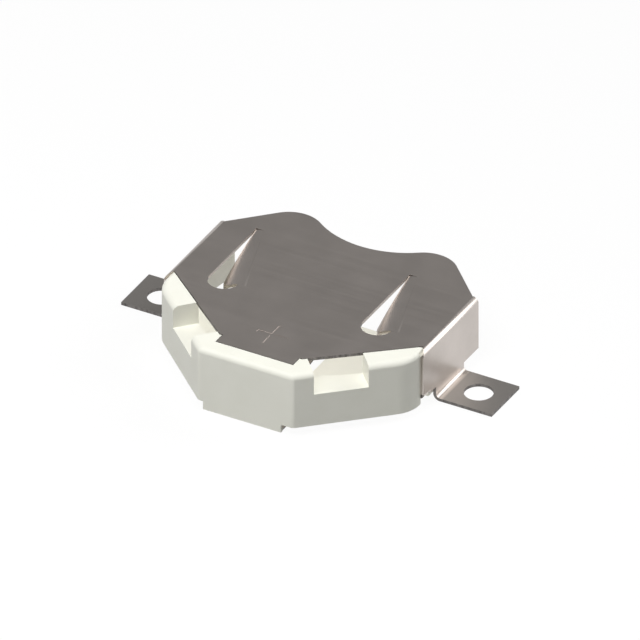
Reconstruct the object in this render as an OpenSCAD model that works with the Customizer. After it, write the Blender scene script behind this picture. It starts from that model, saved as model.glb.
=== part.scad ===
// Surface-mount holder for a 20 mm lithium coin cell.
// A stamped positive cover is clinched over a moulded housing, and a stamped negative spring lies in its floor.
// The board is the plane z = 0, the closed front faces -Y and the cell slides in from the rear.

/* [Cell] */
// Diameter of the coin cell that the pocket takes
cell_d = 20; // [19.9:0.05:20.1]
// Running clearance between the cell's rim and the pocket wall
cell_gap = 0.15; // [0.1:0.01:0.2]
// Distance of the cell's centre behind the middle of the part
cell_y = 3; // [2.9:0.05:3.1]

/* [Overall] */
// Depth from the front face to the tips of the cover's rear lobes
depth = 19.65; // [19.5:0.05:19.8]
// Width over the cover's side walls
cover_w = 22; // [21.9:0.05:22.2]
// Height of the cover's top above the board
cover_h = 5.33; // [5.2:0.01:5.6]
// Thickness of the cover's sheet
sheet_t = 0.25; // [0.2:0.01:0.28]
// Inside radius of the folds in the cover
fold_r = 0.2; // [0.15:0.01:0.25]

/* [Cover outline] */
// Half width of the lip at the front of the top plate
lip_x = 3.25; // [3:0.05:3.45]
// Length of that lip
lip_l = 1.05; // [0.8:0.05:1.2]
// Distance from the housing's front face to the lip's edge
lip_inset = 1.4; // [1.2:0.05:1.6]
// Distance of each rear lobe's centre from the middle
lobe_x = 5.7; // [5.5:0.05:5.9]
// Radius of the rear lobes
lobe_r = 2.6; // [2.4:0.05:2.8]
// Radius of the thumb scallop between the lobes
scallop_r = 7.2; // [6.8:0.1:8]
// Length of the polarity mark's strokes
plus_l = 2.6; // [2:0.1:3.2]
// Width of the polarity mark's strokes
plus_w = 0.3; // [0.2:0.05:0.5]

/* [Side walls and solder tabs] */
// Distance from the housing's rounded corners to the front end of the folded side walls
wall_inset = 0.12; // [0.05:0.01:0.2]
// Rear end of the folded side walls
wall_rear_y = 6.12; // [6:0.01:6.2]
// Height of the walls' lower edge in front of the tabs
wall_front_z = 1.2; // [1.15:0.01:1.3]
// Height of the walls' lower edge behind the tabs
wall_rear_z = 0.88; // [0.8:0.01:1]
// Width over the two solder tabs
tab_span = 31.4; // [31:0.1:31.8]
// Middle of the solder tabs along the depth
tab_y = 1.72; // [1.6:0.01:1.8]
// Length of a solder tab along the depth
tab_l = 4.3; // [4:0.05:4.5]
// Diameter of the hole in each solder tab
tab_hole_d = 2.25; // [1.8:0.05:2.6]
// Distance between the two tab holes
tab_hole_pitch = 26.86; // [26.6:0.02:27]

/* [Spring fingers] */
// Distance between the two fingers, which are the same way round
finger_pitch = 13; // [12.8:0.05:13.2]
// Place of the left finger's cut line
finger_x = -8; // [-8.1:0.05:-7.9]
// Radius to which the fingers are rolled down
finger_r = 2.7; // [2.5:0.1:3.2]

/* [Housing] */
// Height of the housing's underside above the board
stand_off = 0.7; // [0.6:0.05:0.8]
// Height of the pocket's floor above the board
floor_z = 1.5; // [1.4:0.05:1.6]
// Half width of the front face
face_x = 4; // [3.9:0.05:4.1]
// Angle of the front chamfers, measured from the X axis
chamfer_a = 42.5; // [42:0.25:43]
// Radius of the upright corners next to the cover's walls
corner_r = 2.6; // [2.3:0.1:3]
// Radius of the rim's outer top edge
rim_r = 0.45; // [0.3:0.05:0.6]
// Distance of a finger window from the front corner, along the chamfer
window_from = 1.63; // [1.5:0.01:1.9]
// Far end of a finger window, along the chamfer
window_to = 5.83; // [5.7:0.01:6]
// Height of the finger windows' sill above the board
sill_z = 3.45; // [3.2:0.05:3.6]

/* [Negative contact] */
// Thickness of the contact's strip
contact_t = 0.2; // [0.18:0.01:0.25]
// Width of the spring leaf
leaf_w = 3.4; // [3:0.1:3.6]
// Rise of the unloaded leaf above the floor
leaf_rise = 1; // [0.6:0.05:1.2]
// Width of the solder foot under the front face
foot_w = 5.95; // [5.6:0.05:6.05]

/* [Hidden] */
$fn = 96;
eps = 0.01;
far = 40;

front_y = -depth / 2;
rear_y = depth / 2;
pocket_r = cell_d / 2 + cell_gap;
inner_x = cover_w / 2 - sheet_t;
fold_x = inner_x - fold_r;
under_z = cover_h - sheet_t;
fold_z = under_z - fold_r;

// Where the chamfers would meet the housing's sides, and where the rounded corners start and end
side_y = front_y + (inner_x - face_x) * tan(chamfer_a);
corner_cut = corner_r * tan((90 - chamfer_a) / 2);
corner_y = side_y + corner_cut;
wall_front_y = corner_y + wall_inset;

// The scallop touches both lobes, so its centre follows from theirs
lobe_y = rear_y - lobe_r;
scallop_y = lobe_y + sqrt(pow(scallop_r + lobe_r, 2) - pow(lobe_x, 2));

// Clinch tabs fold in under a shoulder of the housing
clinch_y = wall_front_y + 0.1;
clinch_l = 1;
clinch_reach = 0.45;
shoulder_z = wall_front_z + sheet_t - 0.1;

// Rear corner of the top plate's chamfered edge, and the gap between the plate and the rim round it
plate_corner_y = wall_front_y + 0.8;
rim_gap = 0.05;
corner_runs = 3;

// The outline of a finger, measured from the rear end of its cut line
finger_y = wall_rear_y + 0.3;
cut_l = 7.25;
nose_r = 1.25;
root_a = 18.45;
root_rear = 0.66;
root_front = root_rear + cut_l * tan(root_a);
finger_roll = 52;

tab_front_y = tab_y - tab_l / 2;
tab_rear_y = tab_y + tab_l / 2;
tab_fold_r = 0.3;

// Skirt of the front face, which hides the negative solder foot
skirt_left = -3.6;
skirt_right = 3;
skirt_t = 0.25;

// The negative contact rises through the floor, is anchored in it and crests near the cell's middle
riser_y = -6.6;
anchor_y = -4.9;
crest_y = 1;
tip_y = 1.9;

function mirrored(points) = concat(points, [for (i = [len(points) - 1:-1:0]) [-points[i].x, points[i].y]]);

module both_sides() {
    children();
    mirror([1, 0, 0])
        children();
}

module ring(inner_r, outer_r) {
    difference() {
        circle(r = outer_r);
        circle(r = inner_r);
    }
}

// Section of the cover's sheet where it turns through a right angle
module quarter_fold(inner_r) {
    intersection() {
        ring(inner_r, inner_r + sheet_t);
        square(inner_r + sheet_t + eps);
    }
}

// Housing ---------------------------------------------------------------------------------------------

module housing_plan() {
    sine = sin(chamfer_a);
    cosine = cos(chamfer_a);
    polygon(mirrored([
        [inner_x, wall_rear_y],
        [inner_x, corner_y],
        [inner_x - corner_r, corner_y],
        [inner_x - corner_cut * cosine, side_y - corner_cut * sine],
        [face_x, front_y]
    ]));
    both_sides()
        translate([inner_x - corner_r, corner_y])
            circle(r = corner_r);
}

// What lies above the rim: x runs outwards from the face, y runs up, and the flat part reaches inwards
module rim_profile(reach) {
    translate([-reach, cover_h])
        square([reach - rim_r / 2, 2]);
    translate([-rim_r, cover_h - rim_r])
        difference() {
            square([rim_r + 0.5, rim_r + 2]);
            circle(r = rim_r);
        }
}

// One straight run of the rim's round-over, touching the corner's radius at the given angle
module rim_run(angle, length) {
    translate([inner_x - corner_r, corner_y, 0])
        rotate([0, 0, angle])
            translate([-length / 2, -corner_r, 0])
                rotate([90, 0, 90])
                    linear_extrude(length)
                        mirror([1, 0])
                            rim_profile(2.5);
}

module rim_cut() {
    translate([-face_x - 1, front_y, 0])
        rotate([90, 0, 90])
            linear_extrude(2 * face_x + 2)
                mirror([1, 0])
                    rim_profile(2.5);
    both_sides() {
        rim_run(chamfer_a, far);
        for (step = [1:corner_runs])
            rim_run(chamfer_a + (90 - chamfer_a) * step / corner_runs, corner_r);
    }
}

// Recess in which the cover's plate lies flush with the rim
module plate_recess() {
    polygon(mirrored([
        [far, far],
        [far, wall_front_y - rim_gap],
        [inner_x + sheet_t, wall_front_y - rim_gap],
        [fold_x, plate_corner_y - 2 * rim_gap],
        [lip_x + 0.25, front_y + lip_inset + lip_l - 2 * rim_gap],
        [lip_x + rim_gap, front_y + lip_inset + lip_l - 2 * rim_gap],
        [lip_x + rim_gap, front_y + lip_inset - rim_gap]
    ]));
}

// Window for a fingertip, which pushes the cell out from the front
module window_cut() {
    translate([face_x, front_y, sill_z])
        rotate([0, 0, chamfer_a])
            translate([window_from, -1, 0])
                cube([window_to - window_from, 5, far]);
}

module floor_openings() {
    intersection() {
        translate([0, cell_y])
            circle(r = pocket_r);
        polygon(mirrored([
            [far, far],
            [far, 0],
            [7.4, 0],
            [6.2, 3.6]
        ]));
    }
    translate([-leaf_w / 2 - 0.5, -4.6])
        square([leaf_w + 1, 6.4]);
}

module clinch_notch() {
    translate([fold_x - clinch_reach - 0.1, clinch_y - 0.1, 0])
        cube([far, clinch_l + 0.2, shoulder_z]);
    translate([fold_x, clinch_y - 0.1, 0])
        cube([far, clinch_l + 0.2, shoulder_z + fold_r]);
}

module housing() {
    color("ivory") {
        difference() {
            translate([0, 0, stand_off])
                linear_extrude(cover_h + 1 - stand_off)
                    housing_plan();
            translate([0, cell_y, floor_z])
                cylinder(r = pocket_r, h = far);
            translate([0, 0, -eps])
                linear_extrude(far)
                    floor_openings();
            rim_cut();
            translate([0, 0, under_z])
                linear_extrude(far)
                    plate_recess();
            both_sides() {
                window_cut();
                clinch_notch();
                // Relief for the inside of the cover's fold
                translate([inner_x, 0, under_z])
                    rotate([0, 45, 0])
                        cube([0.3, far, 0.3], center = true);
            }
            contact_seat();
        }
        front_skirt();
    }
}

module front_skirt() {
    translate([skirt_left, front_y, 0])
        cube([skirt_right - skirt_left, skirt_t, stand_off + 0.4]);
}

// Cover -----------------------------------------------------------------------------------------------

module cover_plan() {
    tangent = lobe_r * cos(45);
    difference() {
        union() {
            polygon(mirrored([
                [lip_x, front_y + lip_inset],
                [lip_x, front_y + lip_inset + lip_l],
                [lip_x + 0.25, front_y + lip_inset + lip_l],
                [fold_x, plate_corner_y],
                [fold_x, lobe_y + 2 * tangent + lobe_x - fold_x],
                [lobe_x + tangent, lobe_y + tangent],
                [lobe_x, lobe_y]
            ]));
            both_sides()
                translate([lobe_x, lobe_y])
                    circle(r = lobe_r);
            translate([-lobe_x, lobe_y])
                square([2 * lobe_x, lobe_r * (scallop_y - lobe_y) / (scallop_r + lobe_r)]);
        }
        translate([0, scallop_y])
            circle(r = scallop_r);
    }
}

// Outline of the hole round a finger, from the rear end of its cut line
module finger_hole() {
    polygon([
        [0, 0],
        [0, -cut_l],
        [nose_r, -cut_l],
        [root_front, -cut_l],
        [root_rear, 0]
    ]);
    translate([nose_r, -cut_l])
        circle(r = nose_r);
}

// Outline of the finger itself, which leaves a growing slot beside the cut line
module finger_plan() {
    polygon([
        [0, -0.1],
        [0.86, -cut_l + 0.65],
        [1.02, -cut_l + 0.3],
        [1.4, -cut_l + 0.05],
        [root_front, -cut_l],
        [root_rear, 0]
    ]);
}

// Section through a finger: x runs from the root to the free edge, y is height above the plate's top
module finger_section() {
    translate([0, -finger_r])
        intersection() {
            ring(finger_r - sheet_t, finger_r);
            polygon([[0, 0], [0, finger_r], [far, finger_r], [finger_r, finger_r * tan(90 - finger_roll)]]);
        }
}

module finger() {
    intersection() {
        translate([root_rear, 0, cover_h])
            rotate([0, 0, root_a])
                translate([0, 2, 0])
                    rotate([90, 0, 0])
                        linear_extrude(cut_l + 4)
                            mirror([1, 0])
                                finger_section();
        linear_extrude(cover_h + 1)
            finger_plan();
    }
}

// The fold along a side, mitred at its front end from the plate's corner to the wall
module side_fold() {
    difference() {
        translate([fold_x, wall_rear_y, fold_z])
            rotate([90, 0, 0])
                linear_extrude(wall_rear_y - wall_front_y)
                    quarter_fold(fold_r);
        translate([0, 0, fold_z - eps])
            linear_extrude(1)
                polygon([
                    [fold_x - eps, wall_front_y - 1],
                    [fold_x - eps, plate_corner_y],
                    [fold_x, plate_corner_y],
                    [inner_x + sheet_t + eps, wall_front_y],
                    [inner_x + sheet_t + eps, wall_front_y - 1]
                ]);
    }
}

module side_wall() {
    clinch_end = clinch_y + clinch_l;
    translate([inner_x, 0, 0])
        rotate([90, 0, 90])
            linear_extrude(sheet_t)
                polygon([
                    [wall_front_y, shoulder_z + fold_r],
                    [clinch_end, shoulder_z + fold_r],
                    [clinch_end, wall_front_z],
                    [tab_front_y, wall_front_z],
                    [tab_front_y, sheet_t + tab_fold_r],
                    [tab_rear_y, sheet_t + tab_fold_r],
                    [tab_rear_y, wall_rear_z],
                    [wall_rear_y, wall_rear_z],
                    [wall_rear_y, fold_z],
                    [wall_front_y, fold_z]
                ]);
}

// Clinch tab: a quarter fold under the wall and a short leg under the housing's shoulder
module clinch_tab() {
    translate([fold_x, clinch_y, shoulder_z + fold_r])
        rotate([-90, 0, 0])
            linear_extrude(clinch_l)
                quarter_fold(fold_r);
    translate([fold_x - clinch_reach, clinch_y, shoulder_z - sheet_t])
        cube([clinch_reach, clinch_l, sheet_t]);
}

module solder_tab() {
    bend_x = inner_x + sheet_t + tab_fold_r;
    translate([bend_x, tab_rear_y, sheet_t + tab_fold_r])
        rotate([90, 0, 0])
            linear_extrude(tab_l)
                rotate(180)
                    quarter_fold(tab_fold_r);
    difference() {
        translate([bend_x, tab_front_y, 0])
            cube([tab_span / 2 - bend_x, tab_l, sheet_t]);
        translate([tab_hole_pitch / 2, tab_y, -1])
            cylinder(d = tab_hole_d, h = 3);
    }
}

module polarity_mark() {
    translate([0, front_y + 4.2, cover_h])
        for (turn = [0, 90])
            rotate([0, 0, turn])
                cube([plus_l, plus_w, 0.1], center = true);
}

module cover() {
    color("dimgray") {
        difference() {
            translate([0, 0, under_z])
                linear_extrude(sheet_t)
                    cover_plan();
            for (step = [0, 1])
                translate([finger_x + step * finger_pitch, finger_y, under_z - 1])
                    linear_extrude(3)
                        finger_hole();
            polarity_mark();
        }
        for (step = [0, 1])
            translate([finger_x + step * finger_pitch, finger_y, 0])
                finger();
        both_sides() {
            side_fold();
            side_wall();
            clinch_tab();
            solder_tab();
        }
    }
}

// Negative contact ------------------------------------------------------------------------------------

module contact_seat() {
    translate([-leaf_w / 2, riser_y - contact_t / 2, 0])
        cube([leaf_w, contact_t, floor_z]);
    translate([-leaf_w / 2, riser_y - contact_t / 2, floor_z - contact_t])
        cube([leaf_w, 4, far]);
}

module negative_contact() {
    foot_front = front_y + skirt_t;
    color("silver") {
        // Solder foot, wide at the front and as wide as the leaf behind
        translate([-foot_w / 2, foot_front, 0])
            cube([foot_w, 0.75, contact_t]);
        translate([-leaf_w / 2, foot_front, 0])
            cube([leaf_w, riser_y + contact_t / 2 - foot_front, contact_t]);
        translate([-leaf_w / 2, riser_y - contact_t / 2, 0])
            cube([leaf_w, contact_t, floor_z]);
        translate([-leaf_w / 2, riser_y - contact_t / 2, floor_z - contact_t])
            cube([leaf_w, anchor_y - riser_y + contact_t / 2, contact_t]);
        spring_leaf();
    }
}

module spring_leaf() {
    slope = atan(leaf_rise / (crest_y - anchor_y));
    translate([-leaf_w / 2, 0, 0])
        rotate([90, 0, 90])
            linear_extrude(leaf_w)
                polygon([
                    [anchor_y, floor_z - contact_t],
                    [crest_y, floor_z - contact_t + leaf_rise],
                    [tip_y, floor_z - contact_t + leaf_rise - 0.5],
                    [tip_y + contact_t, floor_z + leaf_rise - 0.4],
                    [crest_y, floor_z + leaf_rise],
                    [anchor_y, floor_z]
                ]);
}

housing();
cover();
negative_contact();
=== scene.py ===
# Coin cell holder: moulded housing, stamped cover and negative spring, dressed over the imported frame.
import math
import bmesh
import bpy
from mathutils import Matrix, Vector
from mathutils.bvhtree import BVHTree


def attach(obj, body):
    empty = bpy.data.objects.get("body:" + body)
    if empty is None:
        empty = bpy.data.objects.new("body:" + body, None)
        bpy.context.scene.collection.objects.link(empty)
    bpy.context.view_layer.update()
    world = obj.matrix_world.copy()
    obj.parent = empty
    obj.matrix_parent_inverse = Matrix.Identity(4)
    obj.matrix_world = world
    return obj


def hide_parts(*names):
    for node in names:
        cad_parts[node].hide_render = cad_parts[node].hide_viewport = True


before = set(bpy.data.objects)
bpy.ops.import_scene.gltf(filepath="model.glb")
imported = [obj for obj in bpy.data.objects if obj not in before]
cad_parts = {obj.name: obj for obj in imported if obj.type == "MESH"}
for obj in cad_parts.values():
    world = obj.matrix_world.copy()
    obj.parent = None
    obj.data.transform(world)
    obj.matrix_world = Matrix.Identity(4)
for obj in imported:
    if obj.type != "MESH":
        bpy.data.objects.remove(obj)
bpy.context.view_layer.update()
scene = bpy.context.scene
mm = 0.001

cameraLook = {
    "azimuth": 28.79,            # degrees round the holder, 0 looks straight at the closed front
    "elevation": 33.41,          # degrees above the board
    "across": 47.54 * mm,        # what the view takes in from side to side
    "point": (0, 6.125 * mm, 0),
    "aim": (-2.142 * mm, -0.12 * mm),  # how far the view's middle lies right of and above that point
    "distance": 0.3,             # metres, as are the next two
    "clip": (0.01, 10),
}


def placeCamera(look):
    turn, lift = math.radians(look["azimuth"]), math.radians(look["elevation"])
    back = Vector((math.sin(turn) * math.cos(lift), -math.cos(turn) * math.cos(lift), math.sin(lift)))
    right = Vector((math.cos(turn), math.sin(turn), 0))
    up = back.cross(right)
    middle = Vector(look["point"]) + right * look["aim"][0] + up * look["aim"][1]
    data = bpy.data.cameras.new("holderCamera")
    data.type = "ORTHO"
    data.ortho_scale = look["across"]
    data.clip_start, data.clip_end = look["clip"]
    camera = bpy.data.objects.new("holderCamera", data)
    camera.location = middle + back * look["distance"]
    camera.rotation_mode = "QUATERNION"
    camera.rotation_quaternion = (-back).to_track_quat("-Z", "Y")
    scene.collection.objects.link(camera)
    scene.camera = camera


placeCamera(cameraLook)


def noise(tree, place, scale, detail=4, rough=0.5):
    node = tree.nodes.new("ShaderNodeTexNoise")
    node.inputs["Scale"].default_value = scale
    node.inputs["Detail"].default_value = detail
    node.inputs["Roughness"].default_value = rough
    tree.links.new(place, node.inputs["Vector"])
    return node.outputs["Fac"]


def spread(tree, value, low, high, fromLow=0.3, fromHigh=0.7):
    # a value moved into another range, most noise lies between 0.3 and 0.7
    node = tree.nodes.new("ShaderNodeMapRange")
    node.inputs["From Min"].default_value = fromLow
    node.inputs["From Max"].default_value = fromHigh
    node.inputs["To Min"].default_value = low
    node.inputs["To Max"].default_value = high
    tree.links.new(value, node.inputs["Value"])
    return node.outputs["Result"]


def between(tree, share, first, last):
    # a number part of the way from one to another
    node = tree.nodes.new("ShaderNodeMix")
    node.inputs["B"].default_value = last
    tree.links.new(share, node.inputs["Factor"])
    tree.links.new(first, node.inputs["A"])
    return node.outputs["Result"]


def tint(tree, value, low, high):
    # a colour part of the way from one to another
    node = tree.nodes.new("ShaderNodeMix")
    node.data_type = "RGBA"
    node.inputs["A"].default_value = (*low, 1)
    node.inputs["B"].default_value = (*high, 1)
    tree.links.new(value, node.inputs["Factor"])
    return node.outputs["Result"]


def mathNode(tree, operation, *values):
    node = tree.nodes.new("ShaderNodeMath")
    node.operation = operation
    for value, socket in zip(values, node.inputs):
        tree.links.new(value, socket)
    return node.outputs[0]


def axes(tree, kind):
    # width, depth and height of a place, or of a direction in the studio
    place = tree.nodes.new("ShaderNodeTexCoord")
    split = tree.nodes.new("ShaderNodeSeparateXYZ")
    tree.links.new(place.outputs[kind], split.inputs[0])
    return split.outputs


def mixShaders(tree, first, last):
    node = tree.nodes.new("ShaderNodeMixShader")
    tree.links.new(first, node.inputs[1])
    tree.links.new(last, node.inputs[2])
    return node


def seenRay(tree):
    # one where the camera, a mirror or clear material looks, nought where light is gathered
    path = tree.nodes.new("ShaderNodeLightPath").outputs
    looked = mathNode(tree, "MAXIMUM", path["Is Camera Ray"], path["Is Glossy Ray"])
    return mathNode(tree, "MAXIMUM", looked, path["Is Transmission Ray"])


studioLight = {
    "keyWatts": 0.19,
    "keyPlace": (-0.035, -0.130, 0.272),  # metres, as are the sizes
    "keySize": 0.16,
    "fillWatts": 0.71,               # from the key's place, but it throws no shadow into the pocket
    "rimWatts": 0.6,
    "rimPlace": (0.20, 0.27, 0.15),
    "rimSize": 0.34,
    "horizon": (1.0, 1.0, 1.0),      # what metal sees low down
    "overhead": (0.265, 0.265, 0.265),  # and higher up
    "dimming": (0.05, 0.55),         # heights where the one turns into the other
    "leftShare": 0.5,                # the studio's left side is darker
    "leftEdge": (-0.8, -0.5),
    "rightShare": 1.6,               # and its right side a bright window, for what mirrors it
    "rightEdge": (0.0, 0.4),
    "ambient": (0.17, 0.17, 0.17),   # plain light from all round
}


def addLamp(name, place, size, watts, shadow=True):
    data = bpy.data.lights.new(name, "AREA")
    data.use_shadow = shadow
    data.shape = "DISK"
    data.size = size
    data.energy = watts
    lamp = bpy.data.objects.new(name, data)
    lamp.location = place
    lamp.rotation_mode = "QUATERNION"
    lamp.rotation_quaternion = (-Vector(place)).to_track_quat("-Z", "Y")
    scene.collection.objects.link(lamp)


def buildWorld(light):
    world = bpy.data.worlds.new("studio")
    world.use_nodes = True
    tree = world.node_tree
    tree.nodes.clear()
    way = axes(tree, "Generated")
    height = spread(tree, way["Z"], 0, 1, *light["dimming"])
    height.node.interpolation_type = "SMOOTHSTEP"
    window = spread(tree, way["X"], 0, 1, *light["rightEdge"])
    side = spread(tree, way["X"], light["leftShare"], 1, *light["leftEdge"])
    above = mathNode(tree, "SUBTRACT", height, window)
    above.node.use_clamp = True
    seen = tree.nodes.new("ShaderNodeBackground")
    tree.links.new(tint(tree, above, light["horizon"], light["overhead"]), seen.inputs["Color"])
    tree.links.new(between(tree, window, side, light["rightShare"]), seen.inputs["Strength"])
    plain = tree.nodes.new("ShaderNodeBackground")
    plain.inputs["Color"].default_value = (*light["ambient"], 1)
    pick = mixShaders(tree, plain.outputs[0], seen.outputs[0])
    tree.links.new(seenRay(tree), pick.inputs[0])
    out = tree.nodes.new("ShaderNodeOutputWorld")
    tree.links.new(pick.outputs[0], out.inputs[0])
    scene.world = world


scene.view_settings.view_transform = "Standard"
buildWorld(studioLight)
addLamp("keyLamp", studioLight["keyPlace"], studioLight["keySize"], studioLight["keyWatts"])
addLamp("fillLamp", studioLight["keyPlace"], studioLight["keySize"], studioLight["fillWatts"], False)
addLamp("rimLamp", studioLight["rimPlace"], studioLight["rimSize"], studioLight["rimWatts"])
print("camera and light placed")

floorLook = {
    "size": 2.0,
    "paper": 0.9,
    "white": 0.8,                    # share of plain white over the shadow
    "gather": 0.3,                   # how pale the floor is to other light
}


def buildFloor(look):
    half = look["size"] / 2
    mesh = bpy.data.meshes.new("paperFloor")
    corners = [(-half, -half, 0), (half, -half, 0), (half, half, 0), (-half, half, 0)]
    mesh.from_pydata(corners, [], [(0, 1, 2, 3)])
    floor = bpy.data.objects.new("paperFloor", mesh)
    scene.collection.objects.link(floor)
    paper = bpy.data.materials.new("whitePaper")
    paper.use_nodes = True
    tree = paper.node_tree
    tree.nodes.clear()
    shade = tree.nodes.new("ShaderNodeBsdfDiffuse")
    shade.inputs["Color"].default_value = (look["paper"], look["paper"], look["paper"], 1)
    glow = tree.nodes.new("ShaderNodeEmission")
    glow.inputs["Strength"].default_value = 1
    shown = mixShaders(tree, shade.outputs[0], glow.outputs[0])
    shown.inputs[0].default_value = look["white"]
    grey = tree.nodes.new("ShaderNodeBsdfDiffuse")
    grey.inputs["Color"].default_value = (look["gather"], look["gather"], look["gather"], 1)
    pick = mixShaders(tree, grey.outputs[0], shown.outputs[0])
    tree.links.new(seenRay(tree), pick.inputs[0])
    out = tree.nodes.new("ShaderNodeOutputMaterial")
    tree.links.new(pick.outputs[0], out.inputs[0])
    mesh.materials.append(paper)


buildFloor(floorLook)
print("floor laid")


def newMaterial(name):
    material = bpy.data.materials.new(name)
    material.use_nodes = True
    return material, material.node_tree, material.node_tree.nodes["Principled BSDF"]


def stretched(tree, scale=(1, 1, 1)):
    place = tree.nodes.new("ShaderNodeTexCoord")
    mapping = tree.nodes.new("ShaderNodeMapping")
    mapping.inputs["Scale"].default_value = scale
    tree.links.new(place.outputs["Object"], mapping.inputs["Vector"])
    return mapping.outputs["Vector"]


def bump(tree, value, height, shader, strength=1.0):
    node = tree.nodes.new("ShaderNodeBump")
    node.inputs["Strength"].default_value = strength
    node.inputs["Distance"].default_value = height
    tree.links.new(value, node.inputs["Height"])
    tree.links.new(node.outputs["Normal"], shader.inputs["Normal"])


nylonLook = {
    "pale": (0.87, 0.867, 0.785),
    "deep": (0.84, 0.837, 0.75),
    "cloudScale": 420,               # slow change of colour
    "cloudDetail": 5,
    "grainScale": 5200,              # fine texture of the mould
    "grainDetail": 3,
    "roughLow": 0.42,
    "roughHigh": 0.58,
    "grainHeight": 0.006 * mm,
    "grainStrength": 0.5,
    "shine": 0.4,
}


def mouldedNylon(look):
    material, tree, shader = newMaterial("mouldedNylon")
    cloud = noise(tree, stretched(tree), look["cloudScale"], look["cloudDetail"])
    colour = tint(tree, spread(tree, cloud, 0, 1), look["deep"], look["pale"])
    tree.links.new(colour, shader.inputs["Base Color"])
    grain = noise(tree, stretched(tree), look["grainScale"], look["grainDetail"])
    tree.links.new(spread(tree, grain, look["roughLow"], look["roughHigh"]), shader.inputs["Roughness"])
    bump(tree, grain, look["grainHeight"], shader, look["grainStrength"])
    shader.inputs["Specular IOR Level"].default_value = look["shine"]
    return material


steelLook = {
    "pale": (0.57, 0.52, 0.485),
    "deep": (0.50, 0.457, 0.425),
    "cloudScale": 300,
    "lineScale": (60, 4200),         # rolling lines, along and across them
    "roughLow": 0.30,
    "roughHigh": 0.36,
    "grainHeight": 0.0012 * mm,
    "grainStrength": 0.25,
    "tabShadeColour": (0.27, 0.255, 0.24),  # painted shade: the solder tabs get a darker colour, standing in for the darker reflection they catch; they are rougher too
    "tabRough": 0.55,
    "tabFrom": 11.2 * mm,
    "tabTo": 11.6 * mm,
}


def beyondWalls(tree, low, high):
    # nought over the holder's body, one out on the solder tabs
    return spread(tree, mathNode(tree, "ABSOLUTE", axes(tree, "Object")["X"]), 0, 1, low, high)


def platedSteel(look, name, rolledAlong):
    material, tree, shader = newMaterial(name)
    along, across = look["lineScale"]
    lines = [along if axis == rolledAlong else across for axis in "XYZ"]
    rolled = noise(tree, stretched(tree, lines), 1)
    cloud = noise(tree, stretched(tree), look["cloudScale"])
    plating = tint(tree, spread(tree, cloud, 0, 1), look["deep"], look["pale"])
    # painted shade: out on the solder tabs the colour turns darker, for the darker reflection they catch
    tab = beyondWalls(tree, look["tabFrom"], look["tabTo"])
    shadedTabs = tint(tree, tab, look["pale"], look["tabShadeColour"])
    tree.links.new(plating, shadedTabs.node.inputs["A"])
    tree.links.new(shadedTabs, shader.inputs["Base Color"])
    gloss = spread(tree, rolled, look["roughLow"], look["roughHigh"])
    tree.links.new(between(tree, tab, gloss, look["tabRough"]), shader.inputs["Roughness"])
    bump(tree, rolled, look["grainHeight"], shader, look["grainStrength"])
    shader.inputs["Metallic"].default_value = 1
    return material


edgeLook = {
    "pale": (0.24, 0.225, 0.215),
    "deep": (0.09, 0.084, 0.08),
    "dragScale": (4000, 4000, 500),  # marks of the shears, drawn out upright
    "dragDetail": 3,
    "roughLow": 0.45,
    "roughHigh": 0.65,
    "dragHeight": 0.004 * mm,
    "dragStrength": 0.5,
}


def shearedSteel(look):
    material, tree, shader = newMaterial("shearedSteel")
    drag = noise(tree, stretched(tree, look["dragScale"]), 1, look["dragDetail"])
    colour = tint(tree, spread(tree, drag, 0, 1), look["deep"], look["pale"])
    tree.links.new(colour, shader.inputs["Base Color"])
    tree.links.new(spread(tree, drag, look["roughLow"], look["roughHigh"]), shader.inputs["Roughness"])
    bump(tree, drag, look["dragHeight"], shader, look["dragStrength"])
    shader.inputs["Metallic"].default_value = 1
    return material


nylon = mouldedNylon(nylonLook)
coverSteel = platedSteel(steelLook, "platedCoverSteel", "X")
stripSteel = platedSteel(steelLook, "platedStripSteel", "Y")
cutSteel = shearedSteel(edgeLook)
print("materials mixed")


def applied(piece):
    # the modifiers worked into the mesh
    graph = bpy.context.evaluated_depsgraph_get()
    shown = piece.evaluated_get(graph)
    made = bpy.data.meshes.new_from_object(shown, preserve_all_data_layers=True, depsgraph=graph)
    piece.modifiers.clear()
    piece.data = made
    made.name = piece.name


def mergeFlat(mesh, angle, touching=0.0008 * mm):
    # doubles joined and flat faces merged, so that edges can be softened
    shape = bmesh.new()
    shape.from_mesh(mesh)
    bmesh.ops.remove_doubles(shape, verts=shape.verts, dist=touching)
    bmesh.ops.dissolve_degenerate(shape, edges=shape.edges, dist=touching)
    bmesh.ops.dissolve_limit(shape, angle_limit=math.radians(angle), verts=shape.verts, edges=shape.edges)
    shape.to_mesh(mesh)
    shape.free()


def tidyCopy(node, name, angle):
    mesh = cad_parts[node].data.copy()
    mesh.name = name
    mesh.materials.clear()
    mergeFlat(mesh, angle)
    piece = bpy.data.objects.new(name, mesh)
    scene.collection.objects.link(piece)
    return piece


def soften(piece, width, segments, angle):
    edge = piece.modifiers.new("softEdge", "BEVEL")
    edge.width = width
    edge.segments = segments
    edge.limit_method = "ANGLE"
    edge.angle_limit = math.radians(angle)
    edge.use_clamp_overlap = True
    edge.harden_normals = True
    edge.miter_outer = "MITER_ARC"
    even = piece.modifiers.new("evenShade", "WEIGHTED_NORMAL")
    even.weight = 100
    even.keep_sharp = True
    piece.data.shade_smooth()
    applied(piece)


def finish(piece, node, material):
    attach(piece, "root")
    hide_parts(node)
    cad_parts[node].data.materials.clear()
    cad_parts[node].data.materials.append(material)


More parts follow.
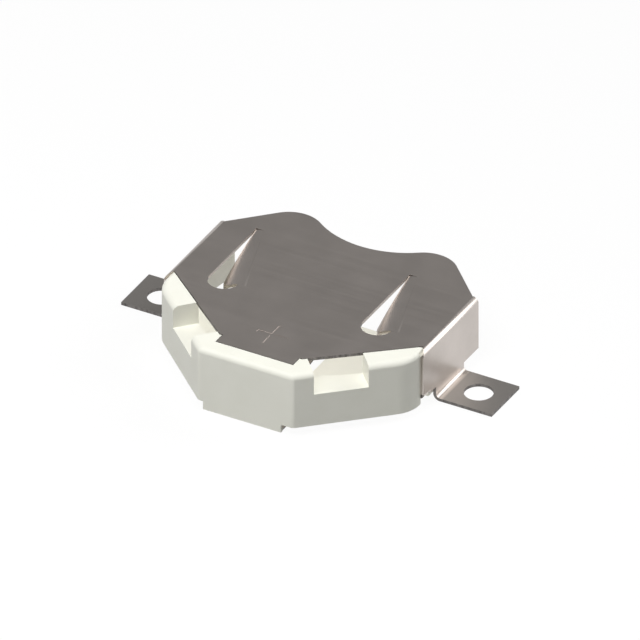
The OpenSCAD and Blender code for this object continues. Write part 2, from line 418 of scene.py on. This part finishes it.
# the housing's sizes in millimetres, as its solid has them; a range is lowest and highest
housingSize = {
    "front": -9.825,
    "rear": 6.12,
    "halfWidth": 10.75,
    "under": 0.7,
    "top": 5.33,
    "faceHalf": 4.0,                 # half width of the front face
    "chamfer": 42.5,                 # degrees from the front face
    "frontRound": 0.5,               # upright corners beside the front face
    "frontSteps": 4,
    "sideRound": 2.6,                # upright corners beside the cover's walls
    "sideSteps": 14,
    "rimRound": 0.45,                # top edge of the rim
    "rimSteps": 6,
    "pocketRadius": 10.15,
    "pocketY": 3.0,
    "pocketSteps": 144,
    "floor": 1.5,
    "floorOpening": ((-7.4, 0), (-6.2, 3.6), (6.2, 3.6), (7.4, 0)),  # the floor ends here
    "leafOpening": ((-2.2, 2.2), (-4.6, 1.8)),
    "leafSeat": ((-1.7, 1.7), (-6.7, -2.7)),
    "leafSeatDepth": 0.2,
    "riserSlot": ((-1.7, 1.7), (-6.7, -6.5)),
    "sill": 3.45,
    "window": (1.63, 5.83),          # along the chamfer from the front corner
    "windowDepth": 4,
    "plateUnder": 5.08,              # the cover's plate lies on this
    "plateRecess": ((30, 30), (30, -2.426), (11, -2.426), (10.55, -1.676),
                    (3.5, -7.475), (3.3, -7.475), (3.3, -8.475)),    # right half of its outline
    "clinchNotch": ((9.999, 12), (-2.376, -1.176), (-1, 1.35)),  # where the cover's tab turns under
    "clinchFold": ((10.55, 12), (-2.376, -1.176), (-1, 1.55)),   # each as width, depth and height
    "foldRelief": ((10.55, 5.2), (10.55, 5.08), (10.75, 4.87), (11.2, 4.87), (11.2, 5.2)),
    "foldDepth": (-2.426, 7),        # the room under the long folds, as width and height, and its depth
    "skirt": ((-3.6, 3.0), 0.25, (0, 1.1)),  # width, thickness and height
    "toolOver": 8.0,                 # cutting blocks reach this far up
    "toolUnder": -1,                 # and this far down
    "overlap": 0.4,                  # or past the floor's upper side
    "flat": 0.3,                     # degrees under which faces are one
    "softEdge": 0.05,
    "softSteps": 2,
    "softAngle": 28,
}


def roundedCorner(before, corner, after, radius, steps):
    # points of an arc that touches both sides of a corner
    first, last = (before - corner).normalized(), (after - corner).normalized()
    half = first.angle(last) / 2
    middle = corner + (first + last).normalized() * radius / math.sin(half)
    start = corner + first * radius / math.tan(half) - middle
    end = corner + last * radius / math.tan(half) - middle
    turn = math.atan2(start.x * end.y - start.y * end.x, start.dot(end))
    arc = []
    for step in range(steps + 1):
        angle = turn * step / steps
        arc.append(middle + Vector((start.x * math.cos(angle) - start.y * math.sin(angle),
                                    start.x * math.sin(angle) + start.y * math.cos(angle))))
    return arc


def mirroredLoop(half):
    return half + [Vector((-point.x, point.y)) for point in reversed(half)]


def sideLoop(points, side):
    # an outline on the right, 1, or its mirror image on the left, -1
    return [Vector((point[0] * side, point[1])) for point in points]


def prism(name, loop, low, high):
    # an upright block over a closed outline, given in millimetres
    shape = bmesh.new()
    bottom = [shape.verts.new((point[0] * mm, point[1] * mm, low * mm)) for point in loop]
    top = [shape.verts.new((point[0] * mm, point[1] * mm, high * mm)) for point in loop]
    shape.faces.new(bottom)
    shape.faces.new(top)
    for i in range(len(loop)):
        j = (i + 1) % len(loop)
        shape.faces.new((bottom[i], bottom[j], top[j], top[i]))
    bmesh.ops.recalc_face_normals(shape, faces=shape.faces)
    mesh = bpy.data.meshes.new(name)
    shape.to_mesh(mesh)
    shape.free()
    upright = bpy.data.objects.new(name, mesh)
    scene.collection.objects.link(upright)
    return upright


def lyingPrism(name, loop, low, high):
    # the same along the depth: the outline is in width and height
    bar = prism(name, loop, low, high)
    for vertex in bar.data.vertices:
        vertex.co = Vector((vertex.co.x, vertex.co.z, vertex.co.y))
    bar.data.flip_normals()
    return bar


def block(name, width, depth, height, side=1):
    left, right = sorted((width[0] * side, width[1] * side))
    near, far = depth
    return prism(name, [(left, near), (right, near), (right, far), (left, far)], *height)


def shapeWith(piece, tool, how="DIFFERENCE"):
    cutting = piece.modifiers.new("cut", "BOOLEAN")
    cutting.operation = how
    cutting.solver = "EXACT"
    cutting.object = tool
    applied(piece)
    bpy.data.objects.remove(tool)


def housingOutline(size):
    slope = math.tan(math.radians(size["chamfer"]))
    rear = Vector((size["halfWidth"], size["rear"]))
    side = Vector((size["halfWidth"], size["front"] + (size["halfWidth"] - size["faceHalf"]) * slope))
    front = Vector((size["faceHalf"], size["front"]))
    middle = Vector((0, size["front"]))
    half = [rear] + roundedCorner(rear, side, front, size["sideRound"], size["sideSteps"])
    return mirroredLoop(half + roundedCorner(side, front, middle, size["frontRound"], size["frontSteps"]))


def roundRim(piece, size, slack=1e-7):
    # the top outer edge is rounded all round, except across the open rear
    shape = bmesh.new()
    shape.from_mesh(piece.data)
    top, rear = size["top"] * mm, size["rear"] * mm
    edges = [edge for edge in shape.edges
             if all(abs(v.co.z - top) < slack for v in edge.verts)
             and not all(abs(v.co.y - rear) < slack for v in edge.verts)]
    bmesh.ops.bevel(shape, geom=edges, offset=size["rimRound"] * mm, offset_type="OFFSET", affect="EDGES",
                    segments=size["rimSteps"], profile=0.5, clamp_overlap=False)
    shape.to_mesh(piece.data)
    shape.free()


def circlePoints(middle, radius, count):
    # from the left, round past the front
    points = []
    for step in range(count):
        turn = math.radians(360 * step / count - 180)
        points.append(Vector((middle[0] + radius * math.cos(turn), middle[1] + radius * math.sin(turn))))
    return points


def pocketMouth(pocket):
    # how far out the pocket's wall crosses the middle of the depth
    for first, last in zip(pocket, pocket[1:]):
        if first.x > 0 and first.y < 0 <= last.y:
            return first.x + (last.x - first.x) * -first.y / (last.y - first.y)


def angleRound(point, middle):
    # angle about the cell's middle, counted from the front
    turn = math.atan2(point.y - middle[1], point.x - middle[0])
    return turn if turn > -math.pi / 2 else turn + 2 * math.pi


def floorLoop(size, pocket):
    # the hole in the floor follows the pocket's own points behind the middle
    centre, mouth = (0, size["pocketY"]), pocketMouth(pocket)
    behind = sorted((point for point in pocket if point.y > 0), key=lambda point: angleRound(point, centre))
    return [Vector((mouth, 0))] + behind + [Vector((-mouth, 0))] + sideLoop(size["floorOpening"], 1)


def windowLoop(size, side):
    # a finger window, from outside the chamfer to well inside the pocket
    turn = math.radians(size["chamfer"])
    along, inwards = Vector((math.cos(turn), math.sin(turn))), Vector((-math.sin(turn), math.cos(turn)))
    corner = Vector((size["faceHalf"], size["front"]))
    first, last = (corner + along * place for place in size["window"])
    deep = inwards * size["windowDepth"]
    return sideLoop([first - inwards, last - inwards, last + deep, first + deep], side)


def buildHousing(size):
    floor, over, under = size["floor"], size["toolOver"], size["toolUnder"]
    past = floor + size["overlap"]
    body = prism("housingBody", housingOutline(size), size["under"], size["top"])
    roundRim(body, size)
    pocket = circlePoints((0, size["pocketY"]), size["pocketRadius"], size["pocketSteps"])
    shapeWith(body, prism("pocket", pocket, floor, over))
    shapeWith(body, prism("floorOpening", floorLoop(size, pocket), under, past))
    shapeWith(body, block("leafOpening", *size["leafOpening"], (under, past)))
    recess = mirroredLoop(sideLoop(size["plateRecess"], 1))
    shapeWith(body, prism("plateRecess", recess, size["plateUnder"], over))
    for side in (1, -1):
        shapeWith(body, prism("window", windowLoop(size, side), size["sill"], over))
        shapeWith(body, block("clinchNotch", *size["clinchNotch"], side))
        shapeWith(body, block("clinchFold", *size["clinchFold"], side))
        shapeWith(body, lyingPrism("foldRelief", sideLoop(size["foldRelief"], side), *size["foldDepth"]))
    shapeWith(body, block("riserSlot", *size["riserSlot"], (under, floor)))
    shapeWith(body, block("leafSeat", *size["leafSeat"], (floor - size["leafSeatDepth"], past)))
    width, thickness, height = size["skirt"]
    shapeWith(body, block("skirt", width, (size["front"], size["front"] + thickness), height), "UNION")
    return body


housingBody = buildHousing(housingSize)
mergeFlat(housingBody.data, housingSize["flat"])
soften(housingBody, housingSize["softEdge"] * mm, housingSize["softSteps"], housingSize["softAngle"])
housingBody.data.materials.clear()
housingBody.data.materials.append(nylon)
finish(housingBody, "housing", nylon)
print("housing dressed:", len(housingBody.data.polygons), "faces")

# telling a cut edge from the sheet's two faces
shearedEdge = {
    "under": 0.002 * mm,             # looked at from just inside
    "narrow": 0.3,                   # shares of the sheet's thickness
    "deep": 1.9,
}


def markSheared(piece, sheet, faceSteel, edgeSteel, plated=(), rule=shearedEdge):
    # a face with far more than the sheet's thickness behind it is a cut edge, bare outside the plated boxes
    mesh = piece.data
    mesh.calc_loop_triangles()
    points = [vertex.co for vertex in mesh.vertices]
    inside = BVHTree.FromPolygons(points, [triangle.vertices[:] for triangle in mesh.loop_triangles])
    largest = {}
    for triangle in mesh.loop_triangles:
        known = largest.get(triangle.polygon_index)
        if known is None or triangle.area > known.area:
            largest[triangle.polygon_index] = triangle
    mesh.materials.clear()
    mesh.materials.append(faceSteel)
    mesh.materials.append(edgeSteel)
    for face in mesh.polygons:
        middle = sum((points[i] for i in largest[face.index].vertices), Vector()) / 3
        hit = inside.ray_cast(middle - face.normal * rule["under"], -face.normal)
        deep = hit[0] is None or hit[3] > sheet * rule["deep"]
        longest = max((points[a] - points[b]).length for a, b in face.edge_keys)
        narrow = face.area / longest < sheet * rule["narrow"]
        covered = any(all(low[i] < middle[i] / mm < high[i] for i in range(3)) for low, high in plated)
        face.material_index = int(deep and not narrow and not covered)


# the cover in millimetres
coverSize = {
    "sheet": 0.25,
    "flat": 0.6,
    "softEdge": 0.035,
    "softSteps": 2,
    "softAngle": 32,
    "plated": (                      # opposite corners of the places whose cut edges are plated
        ((-8.3, -1.1, 0), (-3.4, 6.7, 6)), ((4.7, -1.1, 0), (9.6, 6.7, 6)),      # round the fingers
        ((10.3, -4, 0), (11.1, 7, 5.1)), ((-11.1, -4, 0), (-10.3, 7, 5.1)),      # ends of the walls
    ),
    "markMiddle": (0, -5.625),       # polarity mark
    "markReach": 1.35,
    "markBottom": 5.28,
    "markShallow": 5.31,
    "markSlack": 0.002,
}


def shallowMark(mesh, size):
    # the polarity mark is only lightly pressed in
    for vertex in mesh.vertices:
        near = all(abs(vertex.co[i] / mm - size["markMiddle"][i]) < size["markReach"] for i in (0, 1))
        if near and abs(vertex.co.z / mm - size["markBottom"]) < size["markSlack"]:
            vertex.co.z = size["markShallow"] * mm


coverSheet = tidyCopy("cover", "coverSheet", coverSize["flat"])
shallowMark(coverSheet.data, coverSize)
soften(coverSheet, coverSize["softEdge"] * mm, coverSize["softSteps"], coverSize["softAngle"])
markSheared(coverSheet, coverSize["sheet"] * mm, coverSteel, cutSteel, coverSize["plated"])
finish(coverSheet, "cover", coverSteel)
print("cover dressed:", len(coverSheet.data.polygons), "faces")

# the negative strip in millimetres: its path seen from the side, as depth and height of its middle
stripSize = {
    "path": ((-9.575, 0.1), (-6.6, 0.1), (-6.6, 1.4), (-4.9, 1.4), (1.0, 2.4), (1.98, 1.95)),
    "sheet": 0.2,
    "leafWidth": 3.4,
    "footWidth": 5.95,
    "footLength": 0.75,
    "bend": 0.22,
    "bendSteps": 6,
    "flat": 0.3,
    "softEdge": 0.025,
    "softSteps": 2,
    "softAngle": 32,
}


def addInput(tree, name, kind, value=None):
    socket = tree.interface.new_socket(name, in_out="INPUT", socket_type=kind)
    if value is not None:
        socket.default_value = value


def stripTree():
    tree = bpy.data.node_groups.new("bentStrip", "GeometryNodeTree")
    addInput(tree, "Path", "NodeSocketGeometry")
    for name in ("Sheet", "Leaf width", "Foot width", "Foot length", "Bend radius"):
        addInput(tree, name, "NodeSocketFloat", 1 * mm)
    addInput(tree, "Bend steps", "NodeSocketInt", 6)
    addInput(tree, "Foot middle", "NodeSocketVector")
    addInput(tree, "Steel", "NodeSocketMaterial")
    tree.interface.new_socket("Strip", in_out="OUTPUT", socket_type="NodeSocketGeometry")
    given = tree.nodes.new("NodeGroupInput").outputs
    line = tree.nodes.new("GeometryNodeMeshToCurve")
    tree.links.new(given["Path"], line.inputs["Mesh"])
    bends = tree.nodes.new("GeometryNodeFilletCurve")
    bends.mode = "POLY"
    bends.inputs["Limit Radius"].default_value = True
    tree.links.new(line.outputs["Curve"], bends.inputs["Curve"])
    tree.links.new(given["Bend radius"], bends.inputs["Radius"])
    tree.links.new(given["Bend steps"], bends.inputs["Count"])
    section = tree.nodes.new("GeometryNodeCurvePrimitiveQuadrilateral")
    tree.links.new(given["Leaf width"], section.inputs["Width"])
    tree.links.new(given["Sheet"], section.inputs["Height"])
    sweep = tree.nodes.new("GeometryNodeCurveToMesh")
    sweep.inputs["Fill Caps"].default_value = True
    tree.links.new(bends.outputs["Curve"], sweep.inputs["Curve"])
    tree.links.new(section.outputs["Curve"], sweep.inputs["Profile Curve"])
    size = tree.nodes.new("ShaderNodeCombineXYZ")
    tree.links.new(given["Foot width"], size.inputs["X"])
    tree.links.new(given["Foot length"], size.inputs["Y"])
    tree.links.new(given["Sheet"], size.inputs["Z"])
    foot = tree.nodes.new("GeometryNodeMeshCube")
    tree.links.new(size.outputs["Vector"], foot.inputs["Size"])
    moved = tree.nodes.new("GeometryNodeTransform")
    tree.links.new(foot.outputs["Mesh"], moved.inputs["Geometry"])
    tree.links.new(given["Foot middle"], moved.inputs["Translation"])
    whole = tree.nodes.new("GeometryNodeMeshBoolean")
    whole.operation = "UNION"
    whole.solver = "EXACT"
    joined = [socket for socket in whole.inputs if socket.is_multi_input][0]
    tree.links.new(sweep.outputs["Mesh"], joined)
    tree.links.new(moved.outputs["Geometry"], joined)
    real = tree.nodes.new("GeometryNodeRealizeInstances")
    tree.links.new(whole.outputs["Mesh"], real.inputs["Geometry"])
    coat = tree.nodes.new("GeometryNodeSetMaterial")
    tree.links.new(real.outputs["Geometry"], coat.inputs["Geometry"])
    tree.links.new(given["Steel"], coat.inputs["Material"])
    out = tree.nodes.new("NodeGroupOutput")
    tree.links.new(coat.outputs["Geometry"], out.inputs["Strip"])
    return tree


def buildStrip(size):
    points = [(0, depth * mm, height * mm) for depth, height in size["path"]]
    mesh = bpy.data.meshes.new("negativeStrip")
    mesh.from_pydata(points, [(i, i + 1) for i in range(len(points) - 1)], [])
    strip = bpy.data.objects.new("negativeStrip", mesh)
    scene.collection.objects.link(strip)
    tree = stripTree()
    bent = strip.modifiers.new("bentStrip", "NODES")
    bent.node_group = tree
    settings = {
        "Sheet": size["sheet"] * mm,
        "Leaf width": size["leafWidth"] * mm,
        "Foot width": size["footWidth"] * mm,
        "Foot length": size["footLength"] * mm,
        "Bend radius": size["bend"] * mm,
        "Bend steps": size["bendSteps"],
        "Foot middle": (0, points[0][1] + size["footLength"] * mm / 2, points[0][2]),
        "Steel": stripSteel,
    }
    for item in tree.interface.items_tree:
        if item.in_out == "INPUT" and item.name in settings:
            bent[item.identifier] = settings[item.name]
    applied(strip)
    return strip


negativeStrip = buildStrip(stripSize)
print("strip swept:", len(negativeStrip.data.polygons), "faces",
      [round(v / mm, 3) for v in negativeStrip.dimensions])
mergeFlat(negativeStrip.data, stripSize["flat"])
soften(negativeStrip, stripSize["softEdge"] * mm, stripSize["softSteps"], stripSize["softAngle"])
markSheared(negativeStrip, stripSize["sheet"] * mm, stripSteel, cutSteel)
finish(negativeStrip, "negative_contact", stripSteel)
print("negative strip dressed:", len(negativeStrip.data.polygons), "faces")
